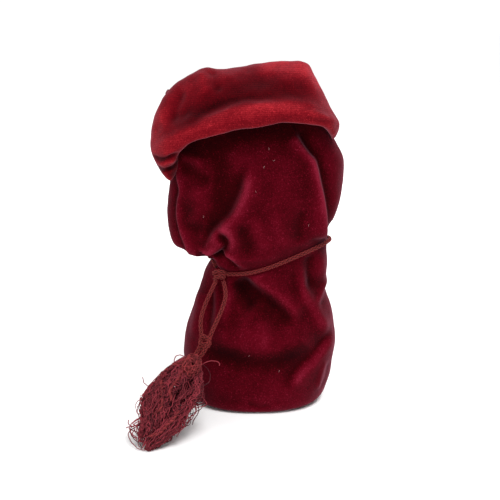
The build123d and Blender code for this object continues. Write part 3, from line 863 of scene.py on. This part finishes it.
STRAYS = [
    [(-19.5, -36.6, 26.8), (-18.5, -36.8, 27.6), (-16.7, -36.4, 28.3), (-13.8, -36.8, 28.7),
     (-11.6, -38.8, 28), (-11.8, -39.4, 27.4)],
    [(-31.5, -31.5, 26.4), (-31.4, -30.2, 27.5), (-30.6, -29, 28.5), (-29, -28.9, 28.9),
     (-27.2, -30.1, 28.4)],
    [(-40.2, -41, 17.6), (-42.4, -39.2, 18.2), (-44, -37.6, 18.9), (-45, -34.3, 20.6)],
    [(-18.8, -36.7, 27), (-16.7, -39.8, 26), (-15.5, -43.7, 24), (-16.2, -46.2, 22.2), (-18.4, -46.9, 21)],
    [(-20.6, -54, 15.8), (-20, -56.6, 14.6), (-19.9, -58.4, 13.6), (-21.7, -61, 11.4), (-22.4, -63.1, 9.8)],
    [(-25.6, -59.6, 11), (-25.3, -61.4, 10), (-27, -64.1, 7.9), (-28.7, -66.4, 5.9)],
    [(-47, -56, 6.2), (-48.6, -55.2, 6.4), (-49.6, -53.9, 6.8), (-49.7, -52.3, 7.8)],
    [(-47.2, -55.6, 6.2), (-49.4, -55.2, 5.8), (-50.6, -55.3, 5.4)],
    [(-47.4, -56.6, 5.8), (-49.2, -58.4, 4.3), (-48.5, -61.2, 2.8), (-46.4, -64.5, 1.5), (-44.1, -67, 0.7),
     (-41.3, -68, 0.8), (-38.6, -67, 1.6)],
]
# yarns along the tassel's outline: share of the way to the tip, then millimetres to the left
OUTLINE_YARNS = [
    [(0.08, 6), (0.15, 9.2), (0.25, 11.4), (0.36, 13), (0.48, 14), (0.58, 13.8), (0.66, 11.6)],
    [(0.12, 7), (0.2, 9.6), (0.3, 11.4), (0.42, 13.4), (0.52, 13.2), (0.62, 13.4), (0.7, 10.6)],
    [(0.7, 8.4), (0.76, 10.2), (0.8, 11.6), (0.86, 12.2), (0.92, 10), (0.96, 6)],
    [(0.76, 7.6), (0.83, 10.8), (0.88, 9.4), (0.93, 9.2), (0.98, 5.6)],
    [(0.68, 8.6), (0.77, 10), (0.83, 8.8), (0.9, 11), (0.96, 8.2), (1, 5)],
    [(0.74, 9), (0.82, 11.4), (0.85, 8.6)],
    [(0.8, 8), (0.88, 11.4), (0.9, 7)],
    [(0.3, -10.4), (0.4, -13.6), (0.47, -14.6), (0.52, -12.6)],
    [(0.5, -11.4), (0.58, -13.8), (0.65, -12), (0.7, -9)],
    [(0.66, -9), (0.74, -11.6), (0.8, -11.2), (0.86, -8)],
]
stray_lines = [rounded(route, 0.3) for route in STRAYS]
for row in OUTLINE_YARNS:
    row = np.array(row)
    stray_lines.append(rounded(HEAD_TOP + axis * row[:, :1] * reach + across * row[:, 1:], 0.3))
stray_paths = np.array([resampled(line, 60) for line in stray_lines])
stray_paths = crinkle(stray_paths, 0.2, 0.07, (3.0, 5.0), rng)
strays = yarn_piece("stray_yarns", stray_paths, 0.2, 5, 28)


# ---- side seams, hem stitches and lint

STITCH_PITCH = 4.0
STITCH_LENGTH = 1.8
STITCH_RADIUS = 0.3


def stitches(name, line):
    """Short stitches laid along a line on the cloth."""
    line = even(np.asarray(line, float), LINE_STEP)
    every, long = int(STITCH_PITCH / LINE_STEP), int(STITCH_LENGTH / LINE_STEP) + 1
    starts = range(every, len(line) - every - long, every)
    return yarn_piece(name, np.array([line[s:s + long] for s in starts]), STITCH_RADIUS, 6, 31)


def side_seam(name, column, inward):
    """The stitches down one side of the pouch, a share of the way in towards its middle."""
    line = np.concatenate([lower[14:-4, column], upper[4:150, column]])
    return stitches(name, line - inward * (line - WAIST_CENTRE) * [1, 1, 0])


left_seam = side_seam("left_seam_stitches", LEFT_COLUMN, 0.02)
right_seam = side_seam("right_seam_stitches", 0, 0.01)
hem_row = int(flap.shape[0] * 0.9)
hem_stitches = stitches("hem_stitches", flap[hem_row, 30:-30])

LINT_AT = [
    (9.6, 117.4), (11.8, 113), (7.6, 110), (4.6, 99), (-19, 88), (0.4, 26.4), (14.6, 20.2), (26, 84),
]
lint_paths = []
surface = np.concatenate([lower.reshape(-1, 3), upper.reshape(-1, 3)])
for x, z in LINT_AT:
    gap = np.hypot(surface[:, 0] - x, surface[:, 2] - z)
    close = surface[gap < 0.8]
    at = close[np.argmin(close[:, 1])]
    turn = rng.random() * math.pi
    t = np.linspace(-1, 1, 14)
    bend = 0.5 * (rng.random() - 0.5)
    lint_paths.append(np.stack([
        at[0] + 0.5 * t * math.cos(turn) - bend * t * t * math.sin(turn),
        np.full(len(t), at[1] - 0.12),
        at[2] + 0.5 * t * math.sin(turn) + bend * t * t * math.cos(turn),
    ], axis=1))
lint = yarn_piece("lint", np.array(lint_paths), 0.05, 4, 33)


# ---- materials

def set_inputs(node, values):
    for name, value in values.items():
        node.inputs[name].default_value = value


class Shading:
    """A tree of shader nodes, with short ways to add to it."""

    def __init__(self, tree):
        self.tree = tree
        self.shader = tree.nodes.get("Principled BSDF")

    def add(self, kind, values=None, source=None, socket="Vector"):
        """A node with these input values, one of its sockets fed by a source."""
        node = self.tree.nodes.new("ShaderNode" + kind)
        set_inputs(node, values or {})
        if source:
            self.tree.links.new(source, node.inputs[socket])
        return node

    def place(self):
        return self.add("TexCoord").outputs["Object"]

    def attribute(self, name):
        node = self.add("Attribute")
        node.attribute_name = name
        return node.outputs["Fac"]

    def noise(self, source, scale, detail=2.0, roughness=0.5):
        values = {"Scale": scale, "Detail": detail, "Roughness": roughness}
        return self.add("TexNoise", values, source).outputs["Fac"]

    def ramp(self, source, stops):
        node = self.add("ValToRGB", source=source, socket="Fac")
        while len(node.color_ramp.elements) < len(stops):
            node.color_ramp.elements.new(0.5)
        for element, (place, colour) in zip(node.color_ramp.elements, stops):
            element.position = place
            element.color = (*colour, 1)
        return node.outputs["Color"]

    def math(self, kind, first, second):
        """First is a source, second a number or a source."""
        node = self.add("Math", source=first, socket=0)
        node.operation = kind
        if isinstance(second, float):
            node.inputs[1].default_value = second
        else:
            self.tree.links.new(second, node.inputs[1])
        return node.outputs[0]

    def vary(self, value, source, amount):
        """The value, made uneven: plus the source's swing about its middle, times this amount."""
        return self.math("ADD", value, self.math("MULTIPLY", self.math("SUBTRACT", source, 0.5), amount))

    def bump(self, source, strength, distance):
        node = self.add("Bump", {"Strength": strength, "Distance": distance}, source, "Height")
        self.tree.links.new(node.outputs["Normal"], self.shader.inputs["Normal"])

    def finish(self, colour, values):
        self.tree.links.new(colour, self.shader.inputs["Base Color"])
        set_inputs(self.shader, values)


def material(name):
    m = bpy.data.materials.new(name)
    m.use_nodes = True
    return m, Shading(m.node_tree)


SPECK_START = 0.6
MIX_FIRST, MIX_SECOND, MIX_RESULT = 6, 7, 2


def velvet(name, stops, sheen, sheen_tint, speckle, turned_stops=None, ribs=0.0):
    """Pile that is darker or lighter with the painted shade and highlight in its tone, its patches, its
    fibres and its specks.
    """
    m, shading = material(name)
    place = shading.place()
    fibres = shading.noise(place, 1100, 4, 0.85)
    value = shading.vary(shading.attribute("tone"), shading.noise(place, 70, 3, 0.6), 0.2)
    value = shading.vary(value, fibres, 0.6)
    specks = shading.math("SUBTRACT", shading.noise(place, 2600, 0), SPECK_START)
    specks = shading.math("MULTIPLY", shading.math("MAXIMUM", specks, 0.0), speckle)
    value = shading.math("ADD", value, specks)
    if ribs:
        values = {"Scale": 420, "Distortion": 2.5, "Detail": 2, "Detail Scale": 0.8}
        wave = shading.add("TexWave", values, place)
        wave.bands_direction = "Z"
        value = shading.vary(value, wave.outputs["Fac"], ribs)
    colour = shading.ramp(value, stops)
    if turned_stops:
        mix = shading.add("Mix")
        mix.data_type = "RGBA"
        sources = (
            ("Factor", shading.attribute("turned")), (MIX_FIRST, colour),
            (MIX_SECOND, shading.ramp(value, turned_stops)))
        for socket, source in sources:
            shading.tree.links.new(source, mix.inputs[socket])
        colour = mix.outputs[MIX_RESULT]
    shading.finish(colour, {
        "Roughness": 0.95, "Specular IOR Level": 0.02, "Sheen Weight": sheen, "Sheen Roughness": 0.4,
        "Sheen Tint": (*sheen_tint, 1),
    })
    shading.bump(fibres, 0.5, 0.0002)
    return m


# Colour ramps over the tone: its low end is mostly painted shade, its high end mostly painted highlight.
BODY_PILE = [
    (0.0, (0.009, 0.0001, 0.0004)), (0.3, (0.025, 0.0002, 0.001)), (0.6, (0.076, 0.0008, 0.005)),
    (1.0, (0.18, 0.01, 0.026)),
]
TURNED_PILE = [
    (0.0, (0.012, 0.0002, 0.0006)), (0.3, (0.06, 0.0006, 0.0024)), (0.6, (0.128, 0.0024, 0.006)),
    (1.0, (0.4, 0.02, 0.028)),
]
body_velvet = velvet("dark red velvet", BODY_PILE, 0.18, (1.0, 0.34, 0.48), 1.7)
flap_red = velvet("dark red velvet, folded over", BODY_PILE, 0.3, (1.0, 0.38, 0.48), 1.2, TURNED_PILE, 0.08)


def yarn(name, dark, light):
    """Twisted fibres: each thread's own tone, with a fine grain."""
    m, shading = material(name)
    grain = shading.noise(shading.place(), 1800, 2, 0.6)
    value = shading.vary(shading.attribute("tone"), grain, 0.9)
    colour = shading.ramp(value, [(0.0, dark), (1.0, light)])
    shading.finish(colour, {"Roughness": 0.7, "Specular IOR Level": 0.15})
    shading.bump(grain, 0.4, 0.0001)
    return m


cord_yarn = yarn("braided cord yarn", (0.001, 0.0001, 0.0001), (0.2, 0.019, 0.02))
tassel_yarn = yarn("tassel yarn", (0.016, 0.0012, 0.0036), (0.29, 0.032, 0.046))
rope_yarn = yarn("plied tassel yarn", (0.05, 0.004, 0.006), (0.26, 0.03, 0.034))
sewing = yarn("sewing thread", (0.012, 0.0004, 0.001), (0.05, 0.002, 0.004))
lint_white = yarn("lint", (0.3, 0.12, 0.12), (0.5, 0.3, 0.3))


def plain(name, colour, roughness, coat=0.0, through_light=0.0):
    m, shading = material(name)
    grain = shading.noise(shading.place(), 240, 4, 0.6)
    tint = shading.ramp(grain, [(0.3, tuple(c * 0.75 for c in colour)), (0.7, colour)])
    shading.finish(tint, {"Roughness": roughness, "Coat Weight": coat, "Transmission Weight": through_light})
    return m


rosin = plain("amber rosin", (0.42, 0.13, 0.02), 0.12, 0.4, 0.35)
turned_wood = plain("turned wood", (0.28, 0.13, 0.05), 0.45)
felt = plain("felt", (0.05, 0.05, 0.05), 0.95)


def finish_with(holder, finish):
    holder.data.materials.clear()
    holder.data.materials.append(finish)


for node_name, finish in (("rosin_cake", rosin), ("cake_cup", turned_wood), ("cup_felt", felt)):
    finish_with(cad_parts[node_name], finish)
for finish, slot_name, body, holders in (
    (body_velvet, "velvet", "pouch", (lower_velvet, upper_velvet)),
    (flap_red, "velvet", None, (flap_velvet,)),
    (cord_yarn, "cord", "pouch", (waist_cord, waist_knot)),
    (cord_yarn, "cord", "tassel", (left_tail, right_tail, tail_knot)),
    (rope_yarn, "tassel_yarn", "tassel", (head_yarn, ropes)),
    (tassel_yarn, "tassel_yarn", "tassel", (binding, skirt_loops, skirt_inner, skirt_outer, strays)),
    (sewing, "thread", "pouch", (left_seam, right_seam)),
    (sewing, "thread", "flap", (hem_stitches,)),
    (lint_white, "thread", "pouch", (lint,)),
):
    for holder in holders:
        finish_with(holder, finish)
        if body:
            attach(holder, body)

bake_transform(flap_velvet)
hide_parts("front_panel")
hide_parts("back_panel")
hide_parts("flap_outer_layer", "flap_inner_layer", "outer_hem", "inner_hem")
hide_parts("waist_cord")
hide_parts("waist_knot")
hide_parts("left_tail_cord")
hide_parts("right_tail_cord")
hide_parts("tail_knot")
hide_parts("tassel_head")
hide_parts("head_binding")
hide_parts("tassel_skirt")
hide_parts("left_seam_thread")
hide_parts("right_seam_thread")
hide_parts("hem_thread")


# ---- light and floor

FLOOR_HALF = 3000
corners = [(-1, -1), (1, -1), (1, 1), (-1, 1)]
floor = mesh_object("floor", [(x * FLOOR_HALF, y * FLOOR_HALF, 0) for x, y in corners], [(0, 1, 2, 3)])
pale, shading = material("pale floor")
set_inputs(shading.shader, {"Base Color": (0.93, 0.93, 0.93, 1), "Roughness": 0.9})
finish_with(floor, pale)

LAMP_AIM = Vector((0, 0, 80)) * MM


def lamp(name, place, size, power):
    data = bpy.data.lights.new(name, "AREA")
    data.shape = "DISK"
    data.size = size
    data.energy = power
    holder = add_object(name, data)
    holder.location = Vector(place) * MM
    holder.rotation_euler = turned_to(LAMP_AIM - holder.location)


sun = bpy.data.lights.new("key", "SUN")
sun.energy = 2.6
sun.angle = math.radians(30)
add_object("key", sun).rotation_euler = turned_to(Vector((-0.22, 0.5, -1.0)))
lamp("fill", (-400, -900, 400), 0.9, 5)
lamp("rim", (500, 600, 700), 0.8, 8)
world = bpy.data.worlds.new("studio")
world.use_nodes = True
backdrop = Shading(world.node_tree)
background = world.node_tree.nodes["Background"]
background.inputs["Color"].default_value = (1, 1, 1, 1)
# the backdrop looks brighter to the camera than the light it gives
seen = backdrop.add("LightPath").outputs["Is Camera Ray"]
strength = backdrop.math("ADD", backdrop.math("MULTIPLY", seen, 0.7), 0.4)
world.node_tree.links.new(strength, background.inputs["Strength"])
bpy.context.scene.world = world
bpy.context.scene.view_settings.view_transform = "Standard"
